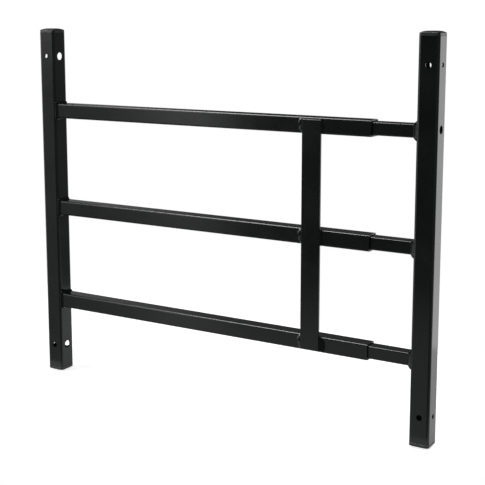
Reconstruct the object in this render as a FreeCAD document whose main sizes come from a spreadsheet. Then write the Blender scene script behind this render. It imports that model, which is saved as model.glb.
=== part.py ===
import FreeCAD, Part

import os
import Sketcher

os.makedirs("parts", exist_ok=True)
doc = FreeCAD.newDocument("window_security_bar")

# Adjustable window guard: two square posts joined by three telescoping bars.
# Origin: centre of the mounting-hole pattern on the left post's outer face.
# +X runs towards the right half, -Y faces the room, +Z is up.  Millimetres.
DIMENSIONS = {
    # posts, one at each side of the window opening
    "post_size": 25.0,
    "post_wall": 1.2,
    "post_radius": 3.0,
    "post_length": 474.0,
    "overall_width": 577.0,
    # holes through the post walls, on one line near each post end
    "hole_spacing": 410.0,
    "front_hole": 7.0,
    "back_hole": 15.0,
    "access_hole": 10.5,
    "jamb_hole": 6.0,
    "drain_hole": 10.0,
    "drain_rise": 132.5,
    # plastic caps pressed into the post ends
    "cap_rim": 4.0,
    "cap_dome": 2.0,
    "cap_crown": 16.0,
    "cap_crown_radius": 2.0,
    "stem_size": 20.6,
    "stem_radius": 1.5,
    "stem_wall": 1.6,
    "stem_length": 16.0,
    "rib_size": 22.4,
    "rib_radius": 1.7,
    "rib_thickness": 1.0,
    "rib_start": 2.0,
    "rib_pitch": 4.5,
    # telescoping bars
    "top_bar_rise": 130.5,
    "middle_bar_drop": 5.0,
    "bottom_bar_drop": 138.0,
    "bar_wall": 1.2,
    "outer_bar_size": 20.0,
    "outer_bar_radius": 2.0,
    "outer_bar_length": 471.0,
    "inner_bar_size": 16.0,
    "inner_bar_radius": 1.8,
    "inner_bar_length": 460.0,
    # fillet welds round each bar where it meets a post
    "outer_weld_leg": 4.0,
    "inner_weld_leg": 5.5,
    "weld_edge": 0.15,
    "weld_half_depth": 12.0,
    "weld_radius": 3.0,
    "outer_weld_root": 1.2,
    "outer_weld_half_height": 14.9,
    "inner_weld_root": 1.0,
    "inner_weld_half_height": 12.8,
    # flat strap welded across the fronts of the outer bars
    "strap_centre": 420.0,
    "strap_width": 25.0,
    "strap_thickness": 3.0,
    "strap_top_inset": 2.0,
    "strap_bottom_inset": 1.4,
    "strap_bevel": 1.0,
    # weld beads along the two sides of the strap
    "bead_rise": 3.0,
    "bead_length": 18.0,
    "left_bead_leg": 6.0,
    "right_bead_leg": 5.5,
    "wide_bead_leg": 9.0,
}

BAR_HEIGHTS = {
    "top": "params.top_bar_rise",
    "middle": "-params.middle_bar_drop",
    "bottom": "-params.bottom_bar_drop",
}
ORIGIN_POINT = (-1, 1)
VERTICAL_AXIS = -2
RIB_COUNT = 3
TOUCHING = 0.01

sheet = doc.addObject("Spreadsheet::Sheet", "params")
for row, (alias, value) in enumerate(DIMENSIONS.items(), start=1):
    sheet.set("A%d" % row, alias)
    sheet.set("B%d" % row, str(value))
    sheet.setAlias("B%d" % row, alias)
doc.recompute()


def new_body(label, x="0", y="0", z="0", turn_axis=None):
    """A body with its own label, placed by sheet expressions, turned half a turn if an axis is given."""
    body = doc.addObject("PartDesign::Body", label)
    body.Label = label
    if turn_axis:
        body.Placement = FreeCAD.Placement(FreeCAD.Vector(), FreeCAD.Rotation(turn_axis, 180))
    for axis, expression in zip("xyz", (x, y, z)):
        body.setExpression("Placement.Base." + axis, expression)
    return body


def new_sketch(body, name, plane, offset_axis=None, offset=None):
    """A sketch on one of the body's own origin planes, shifted along one sketch axis if asked."""
    sketch = body.newObject("Sketcher::SketchObject", body.Label + "_" + name)
    datum = [feature for feature in body.Origin.OriginFeatures if feature.Role == plane][0]
    sketch.AttachmentSupport = [(datum, "")]
    sketch.MapMode = "FlatFace"
    if offset_axis:
        sketch.setExpression("AttachmentOffset.Base." + offset_axis, offset)
    return sketch


def bind(sketch, name, constraint, expression):
    """Add one named driving constraint and bind it to the sheet."""
    index = sketch.addConstraint(constraint)
    sketch.renameConstraint(index, name)
    sketch.setExpression("Constraints." + name, expression)


def draw_rounded_rectangle(sketch, tag, width, height, radius):
    """Rectangle with rounded corners, centred on the sketch origin."""
    half, corner = 10.0, 2.0
    flat = half - corner
    first = sketch.GeometryCount
    ends = [
        ((-flat, -half), (flat, -half)),
        ((half, -flat), (half, flat)),
        ((flat, half), (-flat, half)),
        ((-half, flat), (-half, -flat)),
    ]
    centres = [(flat, -flat), (flat, flat), (-flat, flat), (-flat, -flat)]
    quarter = 1.5707963267948966
    for side, ((ax, ay), (bx, by)) in enumerate(ends):
        sketch.addGeometry(Part.LineSegment(FreeCAD.Vector(ax, ay, 0), FreeCAD.Vector(bx, by, 0)))
        circle = Part.Circle(FreeCAD.Vector(*centres[side], 0), FreeCAD.Vector(0, 0, 1), corner)
        sketch.addGeometry(Part.ArcOfCircle(circle, (side - 1) * quarter, side * quarter))
    lines = [first + 2 * side for side in range(4)]
    arcs = [first + 2 * side + 1 for side in range(4)]
    for side in range(4):
        following = lines[(side + 1) % 4]
        sketch.addConstraint(Sketcher.Constraint("Tangent", lines[side], 2, arcs[side], 1))
        sketch.addConstraint(Sketcher.Constraint("Tangent", arcs[side], 2, following, 1))
    for side in (0, 2):
        sketch.addConstraint(Sketcher.Constraint("Horizontal", lines[side]))
        sketch.addConstraint(Sketcher.Constraint("Vertical", lines[side + 1]))
    for side in (1, 2, 3):
        sketch.addConstraint(Sketcher.Constraint("Equal", arcs[0], arcs[side]))
    sketch.addConstraint(Sketcher.Constraint("Symmetric", arcs[0], 3, arcs[2], 3, *ORIGIN_POINT))
    wide = Sketcher.Constraint("DistanceX", lines[3], 1, lines[1], 1, 2 * half)
    tall = Sketcher.Constraint("DistanceY", lines[0], 1, lines[2], 1, 2 * half)
    bind(sketch, tag + "_width", wide, width)
    bind(sketch, tag + "_height", tall, height)
    bind(sketch, tag + "_radius", Sketcher.Constraint("Radius", arcs[0], corner), radius)


def draw_hole(sketch, tag, height, diameter):
    """Circle on the sketch's vertical axis at a given height."""
    circle = sketch.addGeometry(Part.Circle(FreeCAD.Vector(0, 50, 0), FreeCAD.Vector(0, 0, 1), 3))
    sketch.addConstraint(Sketcher.Constraint("PointOnObject", circle, 3, VERTICAL_AXIS))
    rise = Sketcher.Constraint("DistanceY", *ORIGIN_POINT, circle, 3, 50)
    bind(sketch, tag + "_height", rise, height)
    bind(sketch, tag + "_diameter", Sketcher.Constraint("Diameter", circle, 6), diameter)
    return circle


def draw_hole_pair(sketch, tag, spacing, diameter):
    """Two equal circles on the sketch's vertical axis, mirrored about the sketch origin."""
    upper = draw_hole(sketch, tag, spacing + " / 2", diameter)
    lower = sketch.addGeometry(Part.Circle(FreeCAD.Vector(0, -50, 0), FreeCAD.Vector(0, 0, 1), 3))
    sketch.addConstraint(Sketcher.Constraint("Symmetric", upper, 3, lower, 3, *ORIGIN_POINT))
    sketch.addConstraint(Sketcher.Constraint("Equal", upper, lower))


def extrude(body, kind, sketch, length, side="One side", reverse=False):
    """Pad or Pocket of one sketch by a length from the sheet."""
    feature = body.newObject("PartDesign::" + kind, sketch.Name + "_" + kind.lower())
    feature.Profile = sketch
    feature.Type = "Length"
    feature.SideType = side
    feature.Reversed = reverse
    feature.setExpression("Length", length)
    sketch.Visibility = False
    doc.recompute()
    return feature


def make_post(label, axis_x, opening_on_plus_x, has_drain):
    """Square tube with a screw hole in every wall near each end, all at the same two heights."""
    body = new_body(label, x=axis_x)
    outline = new_sketch(body, "section", "XY_Plane")
    draw_rounded_rectangle(
        outline, "outer", "params.post_size", "params.post_size", "params.post_radius")
    draw_rounded_rectangle(
        outline, "bore",
        "params.post_size - 2 * params.post_wall",
        "params.post_size - 2 * params.post_wall",
        "params.post_radius - params.post_wall")
    extrude(body, "Pad", outline, "params.post_length", side="Symmetric")
    # each pocket starts at the post's axis, so it opens one wall only
    walls = [
        ("front", "XZ_Plane", True, "params.front_hole"),
        ("back", "XZ_Plane", False, "params.back_hole"),
        ("opening", "YZ_Plane", opening_on_plus_x, "params.access_hole"),
        ("jamb", "YZ_Plane", not opening_on_plus_x, "params.jamb_hole"),
    ]
    for name, plane, reverse, diameter in walls:
        holes = new_sketch(body, name + "_holes", plane)
        draw_hole_pair(holes, name, "params.hole_spacing", diameter)
        extrude(body, "Pocket", holes, "params.post_size", reverse=reverse)
    if has_drain:
        drain = new_sketch(body, "drain_hole", "YZ_Plane")
        draw_hole(drain, "drain", "params.drain_rise", "params.drain_hole")
        extrude(body, "Pocket", drain, "params.post_size", reverse=not opening_on_plus_x)
    return body


def make_cap(label, axis_x, at_top):
    """Square tube plug: rim flush with the post, low crowned head, hollow stem with three gripping ribs."""
    post_end = "params.post_length / 2"
    turn_axis = None if at_top else FreeCAD.Vector(1, 0, 0)
    body = new_body(label, x=axis_x, z=post_end if at_top else "-" + post_end, turn_axis=turn_axis)
    rim = new_sketch(body, "rim", "XY_Plane")
    draw_rounded_rectangle(rim, "rim", "params.post_size", "params.post_size", "params.post_radius")
    extrude(body, "Pad", rim, "params.cap_rim")

    shoulder = new_sketch(body, "shoulder", "XY_Plane", "z", "params.cap_rim")
    draw_rounded_rectangle(
        shoulder, "shoulder", "params.post_size", "params.post_size", "params.post_radius")
    crown = new_sketch(body, "crown", "XY_Plane", "z", "params.cap_rim + params.cap_dome")
    draw_rounded_rectangle(
        crown, "crown", "params.cap_crown", "params.cap_crown", "params.cap_crown_radius")
    dome = body.newObject("PartDesign::AdditiveLoft", label + "_dome")
    dome.Profile = shoulder
    dome.Sections = [crown]
    dome.Ruled = True

    stem = new_sketch(body, "stem", "XY_Plane")
    draw_rounded_rectangle(stem, "stem", "params.stem_size", "params.stem_size", "params.stem_radius")
    extrude(body, "Pad", stem, "params.stem_length", reverse=True)
    rib = new_sketch(body, "rib", "XY_Plane", "z", "-params.rib_start")
    draw_rounded_rectangle(rib, "rib", "params.rib_size", "params.rib_size", "params.rib_radius")
    first_rib = extrude(body, "Pad", rib, "params.rib_thickness", reverse=True)
    ribs = body.newObject("PartDesign::LinearPattern", label + "_ribs")
    ribs.Originals = [first_rib]
    ribs.Direction = (rib, ["N_Axis"])
    ribs.Reversed = True
    ribs.Occurrences = RIB_COUNT
    ribs.setExpression("Length", "%d * params.rib_pitch" % (RIB_COUNT - 1))
    body.Tip = ribs
    doc.recompute()

    hollow = new_sketch(body, "hollow", "XY_Plane")
    stem_bore = "params.stem_size - 2 * params.stem_wall"
    draw_rounded_rectangle(hollow, "hollow", stem_bore, stem_bore, "params.stem_radius / 2")
    extrude(body, "Pocket", hollow, "params.stem_length")
    return body


def make_bar(label, kind, start_x, height):
    """Square tube lying along X, its left end at start_x."""
    body = new_body(label, x=start_x, z=height)
    size = "params.%s_bar_size" % kind
    radius = "params.%s_bar_radius" % kind
    bore = size + " - 2 * params.bar_wall"
    section = new_sketch(body, "section", "YZ_Plane")
    draw_rounded_rectangle(section, "outer", size, size, radius)
    draw_rounded_rectangle(section, "bore", bore, bore, radius + " - params.bar_wall")
    extrude(body, "Pad", section, "params.%s_bar_length" % kind)
    return body


def make_post_weld(label, kind, x, height, faces_left):
    """Fillet weld all round a bar's end, filling in behind the post's rounded corners."""
    turn_axis = FreeCAD.Vector(0, 0, 1) if faces_left else None
    body = new_body(label, x=x, z=height, turn_axis=turn_axis)
    size = "params.%s_bar_size" % kind
    radius = "params.%s_bar_radius" % kind
    root = new_sketch(body, "root", "YZ_Plane", "z", "-params.%s_weld_root" % kind)
    draw_rounded_rectangle(
        root, "root",
        "2 * params.weld_half_depth",
        "2 * params.%s_weld_half_height" % kind,
        "params.weld_radius")
    leg = "params.%s_weld_leg" % kind
    toe = new_sketch(body, "toe", "YZ_Plane", "z", leg)
    toe_size = size + " + 2 * params.weld_edge"
    draw_rounded_rectangle(toe, "toe", toe_size, toe_size, radius + " + params.weld_edge")
    ring = body.newObject("PartDesign::AdditiveLoft", label + "_ring")
    ring.Profile = root
    ring.Sections = [toe]
    ring.Ruled = True
    doc.recompute()
    bar_outline = new_sketch(body, "bar_outline", "YZ_Plane")
    draw_rounded_rectangle(bar_outline, "bar", size, size, radius)
    extrude(body, "Pocket", bar_outline, "6 * " + leg, side="Symmetric")
    post_outline = new_sketch(body, "post_outline", "XY_Plane", "x", "-params.post_size / 2")
    draw_rounded_rectangle(
        post_outline, "post", "params.post_size", "params.post_size", "params.post_radius")
    extrude(body, "Pocket", post_outline, "4 * params.post_size", side="Symmetric")
    return body


def make_strap():
    """Flat strap across the fronts of the outer bars, its front end edges bevelled."""
    rise = "(params.top_bar_rise + params.outer_bar_size / 2 - params.strap_top_inset)"
    drop = "(params.bottom_bar_drop + params.outer_bar_size / 2 - params.strap_bottom_inset)"
    body = new_body(
        "strap", x="params.strap_centre", y="-params.outer_bar_size / 2",
        z="(%s - %s) / 2" % (rise, drop))
    outline = new_sketch(body, "outline", "XZ_Plane")
    corners = [(-10.0, -50.0), (10.0, -50.0), (10.0, 50.0), (-10.0, 50.0)]
    for (ax, ay), (bx, by) in zip(corners, corners[1:] + corners[:1]):
        outline.addGeometry(Part.LineSegment(FreeCAD.Vector(ax, ay, 0), FreeCAD.Vector(bx, by, 0)))
    for side in range(4):
        outline.addConstraint(Sketcher.Constraint("Coincident", side, 2, (side + 1) % 4, 1))
    for side in (0, 2):
        outline.addConstraint(Sketcher.Constraint("Horizontal", side))
        outline.addConstraint(Sketcher.Constraint("Vertical", side + 1))
    outline.addConstraint(Sketcher.Constraint("Symmetric", 0, 1, 2, 1, *ORIGIN_POINT))
    bind(outline, "width", Sketcher.Constraint("DistanceX", 0, 1, 0, 2, 20), "params.strap_width")
    tall = Sketcher.Constraint("DistanceY", 1, 1, 1, 2, 100)
    bind(outline, "height", tall, "%s + %s" % (rise, drop))
    flat = extrude(body, "Pad", outline, "params.strap_thickness")
    box = flat.Shape.BoundBox
    front_ends = []
    for number, edge in enumerate(flat.Shape.Edges, start=1):
        middle = edge.BoundBox.Center
        on_front = abs(middle.y - box.YMin) < TOUCHING
        at_end = abs(abs(middle.z) - box.ZMax) < TOUCHING
        if on_front and at_end:
            front_ends.append("Edge%d" % number)
    bevel = body.newObject("PartDesign::Chamfer", "strap_bevel")
    bevel.Base = (flat, front_ends)
    bevel.setExpression("Size", "params.strap_bevel")
    flat.Visibility = False
    doc.recompute()
    return body


def make_bead(label, on_left_side, height, leg_name):
    """Crowned fillet bead in the corner between one side of the strap and a bar's front face."""
    side_offset = "params.strap_width / 2"
    x = "params.strap_centre %s %s" % ("-" if on_left_side else "+", side_offset)
    turn_axis = FreeCAD.Vector(0, 1, 0) if on_left_side else None
    body = new_body(label, x=x, y="-params.outer_bar_size / 2", z=height, turn_axis=turn_axis)
    leg, rise, radius = 5.0, 3.0, 10.0
    profile = new_sketch(body, "profile", "XY_Plane")
    corner = FreeCAD.Vector(0, 0, 0)
    toe = FreeCAD.Vector(leg, 0, 0)
    top = FreeCAD.Vector(0, -rise, 0)
    chord = toe - top
    outward = FreeCAD.Vector(chord.y, -chord.x, 0).normalize()
    sagitta = radius - (radius ** 2 - (chord.Length / 2) ** 2) ** 0.5
    crown = (toe + top) * 0.5 + outward * sagitta
    profile.addGeometry(Part.LineSegment(corner, toe))
    profile.addGeometry(Part.LineSegment(top, corner))
    profile.addGeometry(Part.Arc(top, crown, toe))
    profile.addConstraint(Sketcher.Constraint("Coincident", 0, 1, *ORIGIN_POINT))
    profile.addConstraint(Sketcher.Constraint("Coincident", 1, 2, *ORIGIN_POINT))
    profile.addConstraint(Sketcher.Constraint("Coincident", 2, 1, 1, 1))
    profile.addConstraint(Sketcher.Constraint("Coincident", 2, 2, 0, 2))
    profile.addConstraint(Sketcher.Constraint("Horizontal", 0))
    profile.addConstraint(Sketcher.Constraint("Vertical", 1))
    bind(
        profile, "leg", Sketcher.Constraint("DistanceX", 0, 1, 0, 2, leg), "params." + leg_name)
    bind(profile, "rise", Sketcher.Constraint("DistanceY", 1, 1, 1, 2, rise), "params.bead_rise")
    bind(profile, "crown", Sketcher.Constraint("Radius", 2, radius), "2 * params." + leg_name)
    extrude(body, "Pad", profile, "params.bead_length", side="Symmetric")
    return body


LEFT_AXIS = "params.post_size / 2"
RIGHT_AXIS = "params.overall_width - params.post_size / 2"
LEFT_FACE = "params.post_size"
RIGHT_FACE = "params.overall_width - params.post_size"

bodies = [
    make_post("left_post", LEFT_AXIS, opening_on_plus_x=True, has_drain=False),
    make_post("right_post", RIGHT_AXIS, opening_on_plus_x=False, has_drain=True),
    make_strap(),
]
for side_name, cap_axis in (("left", LEFT_AXIS), ("right", RIGHT_AXIS)):
    for end_name in ("top", "bottom"):
        cap_name = "%s_%s_cap" % (side_name, end_name)
        bodies.append(make_cap(cap_name, cap_axis, at_top=end_name == "top"))
for level, level_height in BAR_HEIGHTS.items():
    inner_start = RIGHT_FACE + " - params.inner_bar_length"
    right_leg = "wide_bead_leg" if level == "bottom" else "right_bead_leg"
    bodies += [
        make_bar("outer_bar_" + level, "outer", LEFT_FACE, level_height),
        make_bar("inner_bar_" + level, "inner", inner_start, level_height),
        make_post_weld("left_weld_" + level, "outer", LEFT_FACE, level_height, faces_left=False),
        make_post_weld("right_weld_" + level, "inner", RIGHT_FACE, level_height, faces_left=True),
        make_bead("strap_left_weld_" + level, True, level_height, "left_bead_leg"),
        make_bead("strap_right_weld_" + level, False, level_height, right_leg),
    ]
doc.recompute()

for item in doc.Objects:
    if "Invalid" in item.State or "Error" in item.State:
        raise RuntimeError("%s did not rebuild: %s" % (item.Label, item.State))
for body in bodies:
    shape = body.Shape
    if shape.isNull() or not shape.isValid():
        raise RuntimeError("%s has no valid shape" % body.Label)
    if len(shape.Solids) != 1:
        raise RuntimeError("%s is not a single solid" % body.Label)
    shape.exportStep("parts/%s.step" % body.Label)
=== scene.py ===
import math

import bpy
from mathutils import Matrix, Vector, noise


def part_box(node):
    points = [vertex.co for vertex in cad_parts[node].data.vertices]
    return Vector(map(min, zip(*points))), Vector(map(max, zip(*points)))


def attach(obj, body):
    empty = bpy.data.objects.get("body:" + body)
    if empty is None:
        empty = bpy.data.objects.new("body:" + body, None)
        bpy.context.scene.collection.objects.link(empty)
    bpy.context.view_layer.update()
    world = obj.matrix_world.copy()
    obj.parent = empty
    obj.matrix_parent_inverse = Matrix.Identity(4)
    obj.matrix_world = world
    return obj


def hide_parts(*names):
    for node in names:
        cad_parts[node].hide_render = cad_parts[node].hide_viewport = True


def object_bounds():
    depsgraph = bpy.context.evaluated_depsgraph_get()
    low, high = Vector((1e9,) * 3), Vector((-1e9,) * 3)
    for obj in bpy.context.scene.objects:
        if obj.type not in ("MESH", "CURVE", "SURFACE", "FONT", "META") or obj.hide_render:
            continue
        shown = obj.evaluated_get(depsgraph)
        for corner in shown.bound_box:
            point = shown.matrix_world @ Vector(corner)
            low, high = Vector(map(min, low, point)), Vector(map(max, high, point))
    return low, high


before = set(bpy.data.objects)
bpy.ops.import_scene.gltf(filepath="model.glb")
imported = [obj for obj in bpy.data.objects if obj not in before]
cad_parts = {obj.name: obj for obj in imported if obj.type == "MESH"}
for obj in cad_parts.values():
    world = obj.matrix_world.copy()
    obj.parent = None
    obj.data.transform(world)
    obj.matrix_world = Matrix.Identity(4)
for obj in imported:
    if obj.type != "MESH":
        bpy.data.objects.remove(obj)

CAD_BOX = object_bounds()
MM = 0.001
SIDES = ("left", "right")
ENDS = ("top", "bottom")
LEVELS = ("top", "middle", "bottom")

POST_LOW, POST_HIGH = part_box("left_post")
POST_SIZE = POST_HIGH.x - POST_LOW.x
POST_RADIUS = 3.0 * MM      # outer corner radii of the three square tubes
OUTER_RADIUS = 2.0 * MM
INNER_RADIUS = 1.8 * MM


# ---------------------------------------------------------------- materials

class Graph:
    """Short way to add and join shader nodes."""

    def __init__(self, tree):
        self.tree = tree
        tree.nodes.clear()

    def add(self, kind, **settings):
        node = self.tree.nodes.new(kind)
        inputs = settings.pop("inputs", {})
        for name, value in settings.items():
            setattr(node, name, value)
        for name, value in inputs.items():
            self.feed(node, name, value)
        return node

    def feed(self, node, name, value):
        socket = node.inputs[name]
        if isinstance(value, bpy.types.NodeSocket):
            self.tree.links.new(value, socket)
        else:
            socket.default_value = value

    def math(self, operation, first, second):
        """Value of a two-input Math node."""
        node = self.add("ShaderNodeMath", operation=operation)
        self.feed(node, 0, first)
        self.feed(node, 1, second)
        return node.outputs["Value"]


def noise_field(graph, place, scale, detail=2.0):
    """Noise in object space; scale is in cycles per metre."""
    node = graph.add(
        "ShaderNodeTexNoise",
        inputs={"Vector": place, "Scale": scale, "Detail": detail, "Roughness": 0.5},
    )
    return node.outputs["Fac"]


def remap(graph, value, low, high):
    """Spread a noise value, which mostly lies between 0.3 and 0.7, over a wanted range."""
    node = graph.add(
        "ShaderNodeMapRange",
        inputs={
            "Value": value, "From Min": 0.3, "From Max": 0.7,
            "To Min": low, "To Max": high,
        },
    )
    return node.outputs["Result"]


def bumped(graph, height, distance, normal=None):
    """Bump of a real height in metres."""
    node = graph.add(
        "ShaderNodeBump", inputs={"Height": height, "Distance": distance, "Strength": 1.0})
    if normal:
        graph.feed(node, "Normal", normal)
    return node.outputs["Normal"]


CLOUD_SCALE = 28.0          # slow change in tone and gloss, cycles per metre
PEEL_SCALE = 420.0          # orange peel, about 2.4 mm wide
GRAIN_SCALE = 2600.0        # fine grain, about 0.4 mm wide
GRAIN_GLOSS = (0.85, 1.15)  # how far the grain moves the roughness
COAT_IOR = 1.5


def coating(name, dark, light, roughness, peel, grain, specular=0.25):
    """Black coat with orange peel, fine grain, and slight clouding in tone and gloss."""
    material = bpy.data.materials.new(name)
    material.use_nodes = True
    graph = Graph(material.node_tree)
    place = graph.add("ShaderNodeTexCoord").outputs["Object"]
    clouds = noise_field(graph, place, CLOUD_SCALE, 3.0)
    peel_noise = noise_field(graph, place, PEEL_SCALE)
    grain_noise = noise_field(graph, place, GRAIN_SCALE)
    tone = graph.add("ShaderNodeMix", data_type="RGBA")
    graph.feed(tone, "Factor", remap(graph, clouds, 0.0, 1.0))
    tone.inputs["A"].default_value = (*dark, 1)
    tone.inputs["B"].default_value = (*light, 1)
    gloss = graph.math(
        "MULTIPLY", remap(graph, grain_noise, *GRAIN_GLOSS), remap(graph, clouds, *roughness))
    normal = bumped(graph, peel_noise, peel)
    normal = bumped(graph, grain_noise, grain, normal)
    shader = graph.add("ShaderNodeBsdfPrincipled")
    graph.feed(shader, "Base Color", tone.outputs["Result"])
    graph.feed(shader, "Roughness", gloss)
    graph.feed(shader, "Normal", normal)
    shader.inputs["IOR"].default_value = COAT_IOR
    shader.inputs["Specular IOR Level"].default_value = specular
    out = graph.add("ShaderNodeOutputMaterial")
    graph.feed(out, "Surface", shader.outputs["BSDF"])
    return material


def powder_coat(name):
    """Semi-gloss coat of the tubes and the strap."""
    return coating(
        name, dark=(0.0072, 0.0086, 0.0083), light=(0.0094, 0.0109, 0.0105),
        roughness=(0.12, 0.16), peel=0.00001, grain=0.000002)


POST_COAT = powder_coat("post_coating")
BAR_COAT = powder_coat("bar_coating")
STRAP_COAT = powder_coat("strap_coating")
WELD_COAT = coating(
    "weld_coating", dark=(0.007, 0.008, 0.0078), light=(0.011, 0.0125, 0.012),
    roughness=(0.15, 0.21), peel=0.00003, grain=0.000004, specular=0.17)
CAP_PLASTIC = coating(
    "cap_plastic", dark=(0.007, 0.0075, 0.0075), light=(0.009, 0.0095, 0.0095),
    roughness=(0.30, 0.37), peel=0.00001, grain=0.00001, specular=0.4)

for node_name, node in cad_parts.items():
    if "post" in node_name:
        finish = POST_COAT
    elif "cap" in node_name:
        finish = CAP_PLASTIC
    elif "weld" in node_name:
        finish = WELD_COAT
    elif node_name == "strap":
        finish = STRAP_COAT
    else:
        finish = BAR_COAT
    node.data.materials.clear()
    node.data.materials.append(finish)


# ---------------------------------------------------------------- mesh helpers

def rounded_square(half_wide, half_high, radius, flat_steps, corner_steps):
    """Points (a, b, normal a, normal b) round a rounded rectangle, anticlockwise from the right."""
    points = []
    centre_a, centre_b = half_wide - radius, half_high - radius
    corners = [
        (centre_a, centre_b, 0.0), (-centre_a, centre_b, 90.0),
        (-centre_a, -centre_b, 180.0), (centre_a, -centre_b, 270.0),
    ]
    for index, (a, b, start) in enumerate(corners):
        for step in range(corner_steps + 1):
            angle = math.radians(start + 90.0 * step / corner_steps)
            points.append((
                a + radius * math.cos(angle), b + radius * math.sin(angle),
                math.cos(angle), math.sin(angle),
            ))
        following = corners[(index + 1) % 4]
        end = math.radians(start + 90.0)
        here = points[-1]
        there_a = following[0] + radius * math.cos(end)
        there_b = following[1] + radius * math.sin(end)
        for step in range(1, flat_steps):
            share = step / flat_steps
            points.append((
                here[0] + (there_a - here[0]) * share, here[1] + (there_b - here[1]) * share,
                here[2], here[3],
            ))
    return points


def keep_flats_flat(piece):
    """Corner normals weighted by area, so flat faces shade flat beside their rounded edges."""
    weighting = piece.modifiers.new("weighted_normals", "WEIGHTED_NORMAL")
    weighting.keep_sharp = True
    weighting.weight = 100
    bpy.context.view_layer.update()
    depsgraph = bpy.context.evaluated_depsgraph_get()
    piece.data = bpy.data.meshes.new_from_object(piece.evaluated_get(depsgraph))
    piece.modifiers.clear()


def add_mesh(name, vertices, faces, material, body, node, sharp_degrees):
    """A piece from vertices and faces, riding on its body in place of one CAD node."""
    mesh = bpy.data.meshes.new(name)
    mesh.from_pydata([tuple(vertex) for vertex in vertices], [], faces)
    mesh.validate()
    mesh.polygons.foreach_set("use_smooth", [True] * len(mesh.polygons))
    mesh.set_sharp_from_angle(angle=math.radians(sharp_degrees))
    mesh.materials.append(material)
    piece = bpy.data.objects.new(name, mesh)
    bpy.context.scene.collection.objects.link(piece)
    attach(piece, body)
    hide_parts(node)
    return piece


def grid_faces(rows, columns, close_rows, close_columns):
    """Quads over a grid of rows x columns vertices, wrapped where asked."""
    faces = []
    for row in range(rows if close_rows else rows - 1):
        for column in range(columns if close_columns else columns - 1):
            after_row = (row + 1) % rows
            after_column = (column + 1) % columns
            faces.append((
                row * columns + column, row * columns + after_column,
                after_row * columns + after_column, after_row * columns + column,
            ))
    return faces


def turned_over(faces):
    """The same faces, pointing the other way."""
    return [tuple(reversed(face)) for face in faces]


# ---------------------------------------------------------------- end caps

# heights are above the post's end, sizes are half widths
CAP_STEPS = (6, 6)          # along each flat and round each corner
CROWN_STEPS = 14
CROWN_START = 0.35          # the innermost ring, in steps from the centre
CROWN_SQUARING = 0.74       # 0 keeps the rings round, 1 would make the outermost square
CROWN_BOW = 0.12            # share of the rise lost evenly towards the rim; the rest rolls off
RIM_HEIGHT = 4.0 * MM
DOME_HEIGHT = 2.0 * MM
EDGE_RADIUS = 0.5 * MM
EDGE_STEPS = 4
EDGE_DROP = 0.02 * MM
NOTCH_DEPTH = 0.35 * MM     # witness groove round the rim, and the chamfer at its foot
NOTCH_HEIGHTS = (2.9 * MM, 2.7 * MM, 2.2 * MM, 2.0 * MM)
STEM_SIZE, STEM_RADIUS = 10.3 * MM, 1.5 * MM
STEM_WALL = 1.6 * MM
STEM_LENGTH = 16.0 * MM
RIB_SIZE, RIB_RADIUS = 11.2 * MM, 1.7 * MM
RIB_COUNT, RIB_START, RIB_PITCH, RIB_THICKNESS = 3, 2.0 * MM, 4.5 * MM, 1.0 * MM
CAP_SHARP = 30.0            # degrees; steeper edges shade sharp


def cap_rings(half):
    """(half width, corner radius, height) of each ring, from the crown's centre to the bore."""
    rings = []
    # crown: almost flat, then rolling over to the rim
    for step in range(CROWN_STEPS):
        share = (step + CROWN_START) / CROWN_STEPS
        size = (half - EDGE_RADIUS) * share
        radius = max(size * (1.0 - CROWN_SQUARING * share ** 3), 0.2 * MM)
        rise = 1.0 - CROWN_BOW * share ** 2 - (1.0 - CROWN_BOW) * share ** 6
        rings.append((size, min(radius, size * 0.98), RIM_HEIGHT + DOME_HEIGHT * rise))
    for step in range(EDGE_STEPS + 1):
        turn = math.radians(90.0 * step / EDGE_STEPS)
        rings.append((
            half - EDGE_RADIUS + EDGE_RADIUS * math.sin(turn), POST_RADIUS,
            RIM_HEIGHT - EDGE_RADIUS + EDGE_RADIUS * math.cos(turn) - EDGE_DROP,
        ))
    rim = (half, POST_RADIUS)
    notch = (half - NOTCH_DEPTH, POST_RADIUS - NOTCH_DEPTH)
    for outline, height in zip((rim, notch, notch, rim), NOTCH_HEIGHTS):
        rings.append((*outline, height))
    rings.append((*rim, NOTCH_DEPTH))
    rings.append((*notch, 0.0))
    stem, rib = (STEM_SIZE, STEM_RADIUS), (RIB_SIZE, RIB_RADIUS)
    rings.append((*stem, 0.0))
    for count in range(RIB_COUNT):
        start = -RIB_START - count * RIB_PITCH
        rings.append((*stem, start))
        rings.append((*rib, start))
        rings.append((*rib, start - RIB_THICKNESS))
        rings.append((*stem, start - RIB_THICKNESS))
    rings.append((*stem, -STEM_LENGTH))
    bore = (STEM_SIZE - STEM_WALL, STEM_RADIUS / 2)
    rings.append((*bore, -STEM_LENGTH))
    rings.append((*bore, 0.0))
    return rings


def make_cap(side, end):
    """Plug with a crowned head, softened edges, a ribbed stem and a hollow underside."""
    node = "%s_%s_cap" % (side, end)
    low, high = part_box(node)
    up = 1.0 if end == "top" else -1.0
    seat = POST_HIGH.z if end == "top" else POST_LOW.z
    axis_x, axis_y = (low.x + high.x) / 2, (low.y + high.y) / 2
    rings = cap_rings((high.x - low.x) / 2)
    vertices = []
    for size, radius, height in rings:
        for a, b, _, _ in rounded_square(size, size, radius, *CAP_STEPS):
            vertices.append((axis_x + a, axis_y + b * up, seat + up * height))
    count = len(vertices) // len(rings)
    faces = turned_over(grid_faces(len(rings), count, False, True))
    faces.append(tuple(range(count)))
    last = (len(rings) - 1) * count
    faces.append(tuple(last + index for index in reversed(range(count))))
    piece = add_mesh(
        "cap_%s_%s" % (side, end), vertices, faces, CAP_PLASTIC,
        side + "_half", node, CAP_SHARP)
    keep_flats_flat(piece)


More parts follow.
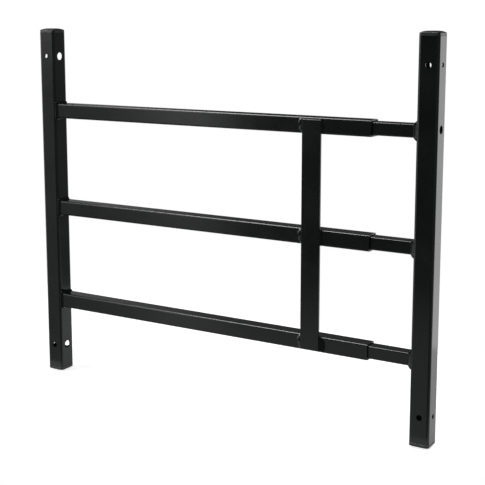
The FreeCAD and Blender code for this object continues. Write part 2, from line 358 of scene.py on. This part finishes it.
for side in SIDES:
    for end in ENDS:
        make_cap(side, end)


# ---------------------------------------------------------------- welds round the bars at the posts

WELD_SHARP = 60.0           # degrees; steeper edges shade sharp
CROWN_POWER = 0.8           # below 1 the bead's crown is fuller than a sine
POST_WELD_STEPS = 10        # across the bead
POST_WELD_PATH = (30, 8)    # along each flat and round each corner of the bar
POST_WELD_BULGE, POST_WELD_SWAY = 0.42, 0.16
POST_WELD_RIPPLE = 0.15 * MM
POST_WELD_PITCH = 1.9 * MM
LEG_SWAY = 0.5 * MM
ROOT_DEPTH = 0.6 * MM       # how far the hidden back of the weld goes into the post
ROOT_SINK = 0.5 * MM        # and into the bar
POST_WELDS = {
    "left": {"bar": "outer", "corner": OUTER_RADIUS, "forward": 1.0,
             "leg": 3.5 * MM, "spread": 2.5 * MM, "seed": 0.0},
    "right": {"bar": "inner", "corner": INNER_RADIUS, "forward": -1.0,
              "leg": 4.9 * MM, "spread": 3.3 * MM, "seed": 3.1},
}


def ripple(along, across, seed, pitch):
    """Height of weld ripples: crescents that follow each other along the bead, -1 to 1."""
    wander = noise.noise(Vector((along / (3.2 * pitch), seed, 0.0)))
    phase = along / pitch + 0.7 * wander + 0.85 * (across - 0.5) ** 2
    return math.cos(2.0 * math.pi * phase)


def crown_of(share):
    """Fullness of a bead across its width, 0 at the toes and 1 in the middle."""
    return math.sin(math.pi * share) ** CROWN_POWER


def post_surface(depth):
    """How far the post's face lies behind its flat at this distance from the post's axis."""
    past = abs(depth) - (POST_SIZE / 2 - POST_RADIUS)
    if past <= 0.0:
        return 0.0
    past = min(past, POST_RADIUS)
    return POST_RADIUS - math.sqrt(max(POST_RADIUS ** 2 - past ** 2, 0.0))


def make_post_weld(side, level):
    """Convex rippled fillet all round a bar where it meets the post."""
    node = "%s_weld_%s" % (side, level)
    shape = POST_WELDS[side]
    forward = shape["forward"]
    bar_low, bar_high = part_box("%s_bar_%s" % (shape["bar"], level))
    half = (bar_high.z - bar_low.z) / 2
    centre_z = (bar_high.z + bar_low.z) / 2
    face_x = POST_HIGH.x if side == "left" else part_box("right_post")[0].x
    box_low, box_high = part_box(node)
    reach_y = (box_high.y - box_low.y) / 2 - 0.15 * MM - half
    seed = 7.3 * LEVELS.index(level) + shape["seed"]
    path = rounded_square(half, half, shape["corner"], *POST_WELD_PATH)
    vertices = []
    travelled = 0.0
    before = path[-1]
    for y, z, ny, nz in path:
        travelled += math.hypot(y - before[0], z - before[1])
        before = (y, z)
        sway = noise.noise(Vector((travelled / (9.0 * MM), seed, 1.7)))
        spread_sway = noise.noise(Vector((travelled / (7.0 * MM), seed, 5.1)))
        leg = shape["leg"] + LEG_SWAY * sway
        spread_z = shape["spread"] + LEG_SWAY * spread_sway
        spread = abs(ny) * min(reach_y, spread_z) + abs(nz) * spread_z
        toe_depth = min(abs(y + ny * spread), POST_SIZE / 2 - 0.3 * MM)
        behind = post_surface(toe_depth)
        slope = math.hypot(spread, leg + behind)
        loop = []
        for step in range(POST_WELD_STEPS + 1):
            share = step / POST_WELD_STEPS
            crown = crown_of(share)
            bulge = (POST_WELD_BULGE + POST_WELD_SWAY * sway) * MM * crown
            bulge += POST_WELD_RIPPLE * crown * ripple(travelled, share, seed, POST_WELD_PITCH)
            loop.append((
                leg * (1.0 - share) - behind * share + bulge * spread / slope,
                spread * share + bulge * (leg + behind) / slope,
            ))
        loop.append((-behind - ROOT_DEPTH, spread - 0.3 * MM))
        loop.append((-behind - ROOT_DEPTH, -ROOT_SINK))
        loop.append((leg * 0.6, -ROOT_SINK))
        for over, out in loop:
            depth = max(min(y + ny * out, reach_y + half), -reach_y - half)
            vertices.append((face_x + forward * over, depth, centre_z + z + nz * out))
    columns = len(vertices) // len(path)
    faces = grid_faces(len(path), columns, True, True)
    if forward < 0:
        faces = turned_over(faces)
    add_mesh(
        "weld_%s_%s" % (side, level), vertices, faces, WELD_COAT,
        side + "_half", node, WELD_SHARP)


for level in LEVELS:
    for side in SIDES:
        make_post_weld(side, level)


# ---------------------------------------------------------------- strap and its beads

STRAP_BEVEL = 1.0 * MM      # across the front end edges
STRAP_SOFT = 0.3 * MM       # radius of all its edges


def make_strap():
    """Flat bar with sheared ends, softened edges and bevelled front end edges."""
    low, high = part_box("strap")
    mesh = bpy.data.meshes.new("flat_strap")
    profile = [
        (high.y, low.z), (low.y + STRAP_BEVEL, low.z), (low.y, low.z + STRAP_BEVEL),
        (low.y, high.z - STRAP_BEVEL), (low.y + STRAP_BEVEL, high.z), (high.y, high.z),
    ]
    vertices = [(x, y, z) for x in (low.x, high.x) for y, z in profile]
    count = len(profile)
    faces = [tuple(range(count)), tuple(count + index for index in reversed(range(count)))]
    for index in range(count):
        after = (index + 1) % count
        faces.append((index, count + index, count + after, after))
    mesh.from_pydata(vertices, [], faces)
    mesh.materials.append(STRAP_COAT)
    piece = bpy.data.objects.new("flat_strap", mesh)
    bpy.context.scene.collection.objects.link(piece)
    rounding = piece.modifiers.new("soft_edges", "BEVEL")
    rounding.width = STRAP_SOFT
    rounding.segments = 3
    rounding.limit_method = "ANGLE"
    rounding.angle_limit = math.radians(25.0)
    mesh.polygons.foreach_set("use_smooth", [True] * len(mesh.polygons))
    keep_flats_flat(piece)
    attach(piece, "left_half")
    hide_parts("strap")


make_strap()

BEAD_ROWS, BEAD_STEPS = 73, 16      # along the bead and across it
BEAD_PITCH = 1.7 * MM
BEAD_BULGE, BEAD_RIPPLE = 0.12, 0.13
BEAD_TAPER = 3.2 * MM               # length over which each end fades out
BEAD_SINK = 0.5 * MM                # how far its hidden side goes into the strap
BEAD_ROOT = 0.4 * MM                # and into the bar
HOLLOW = 1.3                        # 1 is a flat bead, more is a hollow one
START_RADIUS = 6.5 * MM             # round lump where a bead was begun
START_HEIGHT = 2.7 * MM
START_REACH = math.sqrt(START_RADIUS ** 2 - (START_RADIUS - START_HEIGHT) ** 2)
START_PLACE = {"top": 0.52, "middle": 0.45, "bottom": 0.33}    # share of the bead's width


def start_lump(out, down, place):
    """Height of the start lump at a distance out from the strap and down from the bead's top."""
    across = out - place
    along = down - START_REACH
    inside = START_RADIUS ** 2 - across ** 2 - along ** 2
    if inside <= 0.0:
        return 0.0
    return math.sqrt(inside) - (START_RADIUS - START_HEIGHT)


def make_bead(side, level):
    """Short rippled fillet bead in the corner of the strap and a bar, tapering at both ends."""
    node = "strap_%s_weld_%s" % (side, level)
    low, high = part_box(node)
    outward = 1.0 if side == "right" else -1.0
    corner_x = low.x if side == "right" else high.x
    face_y = high.y
    leg_full, rise_full = high.x - low.x, high.y - low.y
    length = high.z - low.z
    place = leg_full * START_PLACE[level]
    seed = 11.0 + 5.7 * LEVELS.index(level) + (2.9 if side == "right" else 0.0)
    vertices = []
    for row in range(BEAD_ROWS):
        share_z = row / (BEAD_ROWS - 1)
        z = low.z + length * share_z
        end = min(share_z, 1.0 - share_z) * length
        taper = math.sqrt(max(1.0 - (1.0 - min(end / BEAD_TAPER, 1.0)) ** 2, 0.0))
        bow = math.sqrt(max(1.0 - 0.7 * (2.0 * share_z - 1.0) ** 2, 0.0))
        sway = noise.noise(Vector((z / (6.0 * MM), seed, 0.4)))
        leg = leg_full * (0.25 + 0.7 * taper * bow) * (0.97 + 0.05 * sway)
        rise = rise_full * (0.2 + 0.7 * taper) * (0.96 + 0.06 * sway)
        slope = math.hypot(leg, rise)
        loop = []
        for step in range(BEAD_STEPS + 1):
            share = step / BEAD_STEPS
            height = BEAD_BULGE + BEAD_RIPPLE * ripple(z, share, seed, BEAD_PITCH)
            bulge = height * taper * MM * crown_of(share)
            loop.append((
                leg * (1.0 - share) ** HOLLOW + bulge * rise / slope,
                rise * share ** HOLLOW + bulge * leg / slope,
            ))
        if side == "left":
            loop = [(out, max(up, start_lump(out, high.z - z, place))) for out, up in loop]
        loop.append((-BEAD_SINK, rise * 0.8))
        loop.append((-BEAD_SINK, -BEAD_ROOT))
        loop.append((leg * 0.8, -BEAD_ROOT))
        for out, up in loop:
            vertices.append((corner_x + outward * out, face_y - min(up, rise_full), z))
    columns = len(vertices) // BEAD_ROWS
    faces = grid_faces(BEAD_ROWS, columns, False, True)
    faces.append(tuple(reversed(range(columns))))
    last = (BEAD_ROWS - 1) * columns
    faces.append(tuple(last + index for index in range(columns)))
    if outward > 0:
        faces = turned_over(faces)
    add_mesh(
        "bead_%s_%s" % (side, level), vertices, faces, WELD_COAT,
        "left_half", node, WELD_SHARP)


for level in LEVELS:
    for side in SIDES:
        make_bead(side, level)


# ---------------------------------------------------------------- floor

FLOOR_SIDE, FLOOR_FRONT, FLOOR_BACK = 1.1, 0.03, 0.35   # reach past the object, in metres
FLOOR_GLOW = 0.72


def make_floor():
    """Plain pale floor under the posts' bottom caps."""
    low, high = CAD_BOX
    z = low.z
    left, right = low.x - FLOOR_SIDE, high.x + FLOOR_SIDE
    front, back = low.y - FLOOR_FRONT, high.y + FLOOR_BACK
    corners = [(left, front, z), (right, front, z), (right, back, z), (left, back, z)]
    mesh = bpy.data.meshes.new("floor")
    mesh.from_pydata(corners, [], [(0, 1, 2, 3)])
    floor = bpy.data.objects.new("floor", mesh)
    bpy.context.scene.collection.objects.link(floor)
    material = bpy.data.materials.new("pale_floor")
    material.use_nodes = True
    graph = Graph(material.node_tree)
    place = graph.add("ShaderNodeTexCoord").outputs["Object"]
    tone = remap(graph, noise_field(graph, place, 3.0), 0.90, 0.93)
    shader = graph.add("ShaderNodeBsdfPrincipled")
    colour = graph.add("ShaderNodeCombineColor")
    for channel in ("Red", "Green", "Blue"):
        graph.feed(colour, channel, tone)
    graph.feed(shader, "Base Color", colour.outputs["Color"])
    shader.inputs["Roughness"].default_value = 0.7
    shader.inputs["Emission Color"].default_value = (1, 1, 1, 1)
    shader.inputs["Emission Strength"].default_value = FLOOR_GLOW
    graph.feed(graph.add("ShaderNodeOutputMaterial"), "Surface", shader.outputs["BSDF"])
    mesh.materials.append(material)


make_floor()


# ---------------------------------------------------------------- world

# soft panels far from the object: azimuth range (clockwise from +Y) and elevation range in
# degrees, softness of the edges in azimuth and in elevation, radiance
STUDIO = (
    ((9.0, 27.0), (-20.0, 12.0), (5.0, 8.0), 2.1),
    ((35.0, 62.0), (-24.0, 8.0), (4.0, 6.0), 0.24),
    ((72.0, 172.0), (-24.0, 12.0), (12.0, 8.0), 0.3),
    ((-75.0, -42.0), (-2.0, 28.0), (12.0, 8.0), 0.2),
    ((-75.0, -15.0), (13.0, 40.0), (6.0, 6.0), 0.09),
    ((-147.4, -145.2), (-7.0, 14.0), (1.6, 3.0), 1.3),
    ((-147.4, -145.2), (-16.0, 14.0), (1.6, 4.0), 0.8),
    ((-147.6, -112.0), (-14.0, 40.0), (2.0, 3.0), 0.47),
    ((-146.0, -112.0), (4.0, 32.0), (4.0, 7.0), 3.4),
    ((-158.0, -142.0), (-40.0, -17.5), (7.0, 4.0), 0.8),
    ((-131.0, -108.0), (-14.0, 16.0), (3.0, 5.0), 2.4),
)
ROOM = 0.03                 # radiance of the rest of the room


def soft_window(graph, value, low, high, softness):
    """1 between low and high, falling smoothly to 0 over the softness outside each edge."""
    edges = []
    for outer, inner in ((low - softness, low), (high + softness, high)):
        edge = graph.add("ShaderNodeMapRange", interpolation_type="SMOOTHSTEP")
        graph.feed(edge, "Value", value)
        graph.feed(edge, "From Min", math.radians(outer))
        graph.feed(edge, "From Max", math.radians(inner))
        edges.append(edge.outputs["Result"])
    return graph.math("MULTIPLY", *edges)


def studio_panel(graph, azimuth, elevation, azimuth_range, elevation_range, softness, radiance):
    """One soft-edged panel on the sky."""
    across = soft_window(graph, azimuth, *azimuth_range, softness[0])
    up = soft_window(graph, elevation, *elevation_range, softness[1])
    return graph.math("MULTIPLY", graph.math("MULTIPLY", across, up), radiance)


def make_world():
    """Dim room with soft panels, seen by the object; the camera sees plain white."""
    world = bpy.data.worlds.new("studio")
    bpy.context.scene.world = world
    world.use_nodes = True
    graph = Graph(world.node_tree)
    direction = graph.add("ShaderNodeSeparateXYZ")
    graph.feed(direction, "Vector", graph.add("ShaderNodeTexCoord").outputs["Generated"])
    azimuth = graph.math("ARCTAN2", direction.outputs["X"], direction.outputs["Y"])
    height = graph.add("ShaderNodeMath", operation="ARCSINE")
    graph.feed(height, 0, direction.outputs["Z"])
    elevation = height.outputs["Value"]
    total = ROOM
    for panel in STUDIO:
        total = graph.math("ADD", studio_panel(graph, azimuth, elevation, *panel), total)
    seen = graph.add("ShaderNodeLightPath").outputs["Is Camera Ray"]
    backdrop = graph.add(
        "ShaderNodeBackground", inputs={"Color": (1, 1, 1, 1), "Strength": 1.0})
    room = graph.add("ShaderNodeBackground", inputs={"Color": (1, 1, 1, 1)})
    graph.feed(room, "Strength", total)
    mixed = graph.add("ShaderNodeMixShader")
    graph.feed(mixed, 0, seen)
    graph.feed(mixed, 1, room.outputs["Background"])
    graph.feed(mixed, 2, backdrop.outputs["Background"])
    graph.feed(graph.add("ShaderNodeOutputWorld"), "Surface", mixed.outputs["Shader"])


make_world()


# ---------------------------------------------------------------- lamps

def soft_box(name, centre, aim, width, height, radiance):
    """Area light of a given brightness per area, turned to face a point."""
    light = bpy.data.lights.new(name, "AREA")
    light.shape = "RECTANGLE"
    light.size, light.size_y = width, height
    light.energy = radiance * math.pi * width * height
    lamp = bpy.data.objects.new(name, light)
    bpy.context.scene.collection.objects.link(lamp)
    lamp.location = centre
    lamp.rotation_euler = (Vector(aim) - Vector(centre)).to_track_quat("-Z", "Y").to_euler()
    lamp.visible_camera = False
    return lamp


MIDDLE = (CAD_BOX[0] + CAD_BOX[1]) / 2
WASH_X, WASH_Y = 0.95, 0.65

soft_box("overhead", (0.3, 0.2, 1.9), MIDDLE, width=2.2, height=1.6, radiance=1.0)
# draws the light lines on the rounded upper edges
glint = soft_box("glint", (-0.35, -0.55, 1.25), MIDDLE, width=1.0, height=0.6, radiance=25.0)
glint.visible_diffuse = False
# lights the back of the floor, and shows in no reflection
wash = soft_box(
    "floor_wash", (WASH_X, WASH_Y, 0.5), (WASH_X, WASH_Y, CAD_BOX[0].z),
    width=0.8, height=0.6, radiance=2.6)
wash.visible_glossy = False


# ---------------------------------------------------------------- camera

CAMERA_PLACE = (0.992, -1.1345, 0.256)
CAMERA_YAW, CAMERA_PITCH = math.radians(30.74), math.radians(-8.87)
FOCAL_LENGTH, SENSOR_WIDTH = 78.76, 36.0
SHIFT = -0.12

camera_data = bpy.data.cameras.new("camera")
camera_data.sensor_width = SENSOR_WIDTH
camera_data.lens = FOCAL_LENGTH
camera_data.shift_y = SHIFT
camera = bpy.data.objects.new("camera", camera_data)
bpy.context.scene.collection.objects.link(camera)
camera.location = CAMERA_PLACE
look = Vector((
    -math.sin(CAMERA_YAW) * math.cos(CAMERA_PITCH),
    math.cos(CAMERA_YAW) * math.cos(CAMERA_PITCH),
    math.sin(CAMERA_PITCH),
))
camera.rotation_euler = look.to_track_quat("-Z", "Y").to_euler()
bpy.context.scene.camera = camera
bpy.context.scene.view_settings.view_transform = "Standard"
